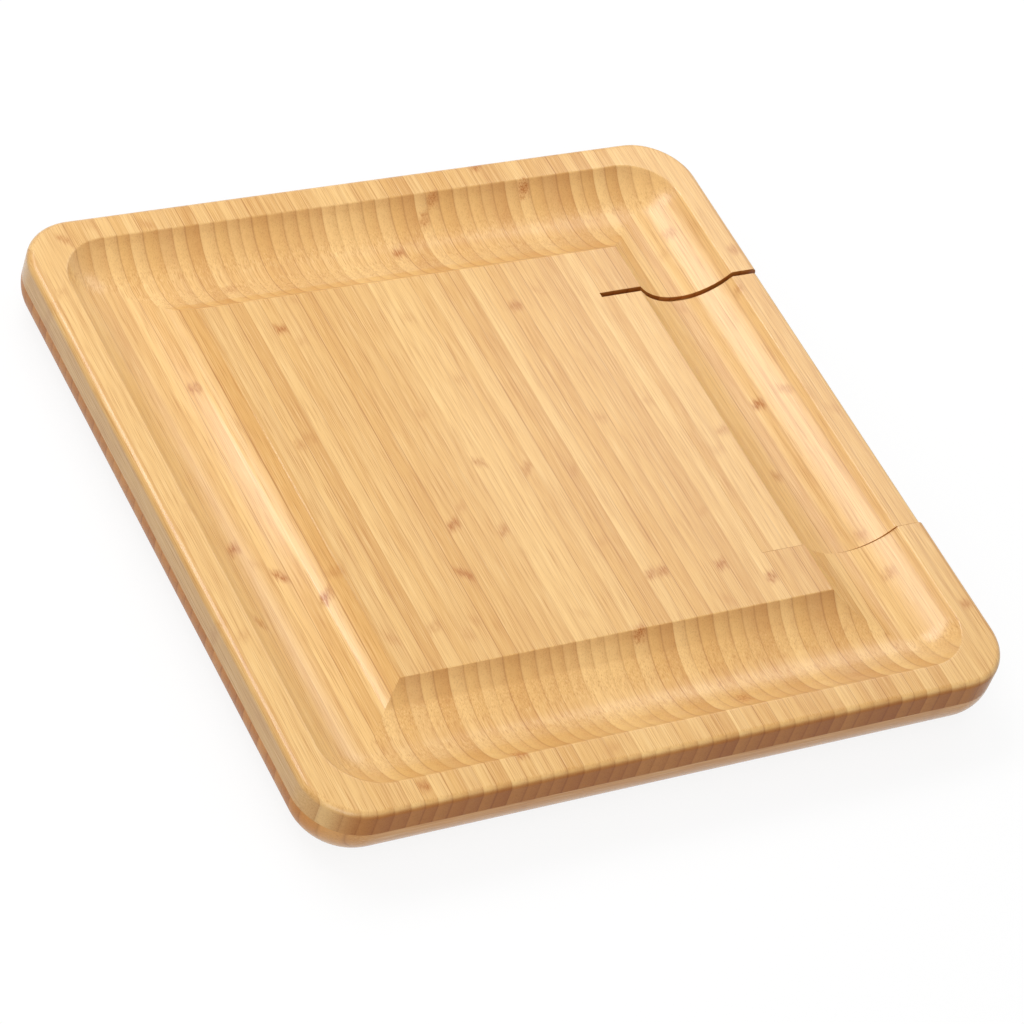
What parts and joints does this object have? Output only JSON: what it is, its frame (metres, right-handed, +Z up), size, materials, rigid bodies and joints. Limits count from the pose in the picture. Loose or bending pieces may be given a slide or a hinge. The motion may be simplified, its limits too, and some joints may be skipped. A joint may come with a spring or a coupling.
{
  "type": "cheese board",
  "caption": "Square bamboo cheese board with a cracker groove round a flat middle and a drawer in one side that holds cheese tools.",
  "frame": {"origin": "middle of the footprint, on the surface that the board stands on", "axes": "+Z up; +X the way the drawer pulls out; the strips of the top run along Y"},
  "size_m": [0.33, 0.33, 0.032],
  "materials": {
    "bamboo_top": "satin lacquered bamboo, strips on edge along Y",
    "bamboo_rail": "satin lacquered bamboo, grain along the rail",
    "bamboo_base": "satin lacquered bamboo",
    "bamboo_tray": "satin lacquered bamboo, grain along X",
    "handle_bamboo": "oiled carbonised bamboo",
    "blade_steel": "brushed stainless steel",
    "ferrule_steel": "polished stainless steel",
    "steel_pin": "turned steel",
    "nickel_magnet": "nickel plating"
  },
  "bodies": {
    "board": {"top_slab": "bamboo_top", "front_rail": "bamboo_rail", "back_rail": "bamboo_rail", "rear_rail": "bamboo_rail", "base_panel": "bamboo_base", "front_runner": "bamboo_rail", "back_runner": "bamboo_rail", "stop_pin": "steel_pin", "rear_rail_magnets": "nickel_magnet"},
    "drawer": {"drawer_cap": "bamboo_top", "drawer_tray": "bamboo_tray", "drawer_magnets": "nickel_magnet", "knife_blade": "blade_steel", "knife_ferrule": "ferrule_steel", "knife_handle": "handle_bamboo", "slicer_blade": "blade_steel", "slicer_ferrule": "ferrule_steel", "slicer_handle": "handle_bamboo", "spade_blade": "blade_steel", "spade_ferrule": "ferrule_steel", "spade_handle": "handle_bamboo", "fork_blade": "blade_steel", "fork_ferrule": "ferrule_steel", "fork_handle": "handle_bamboo"}
  },
  "joints": [
    {"name": "drawer_slide", "type": "slide", "parent": "board", "child": "drawer", "axis": [1, 0, 0], "range_m": [0, 0.19]}
  ]
}
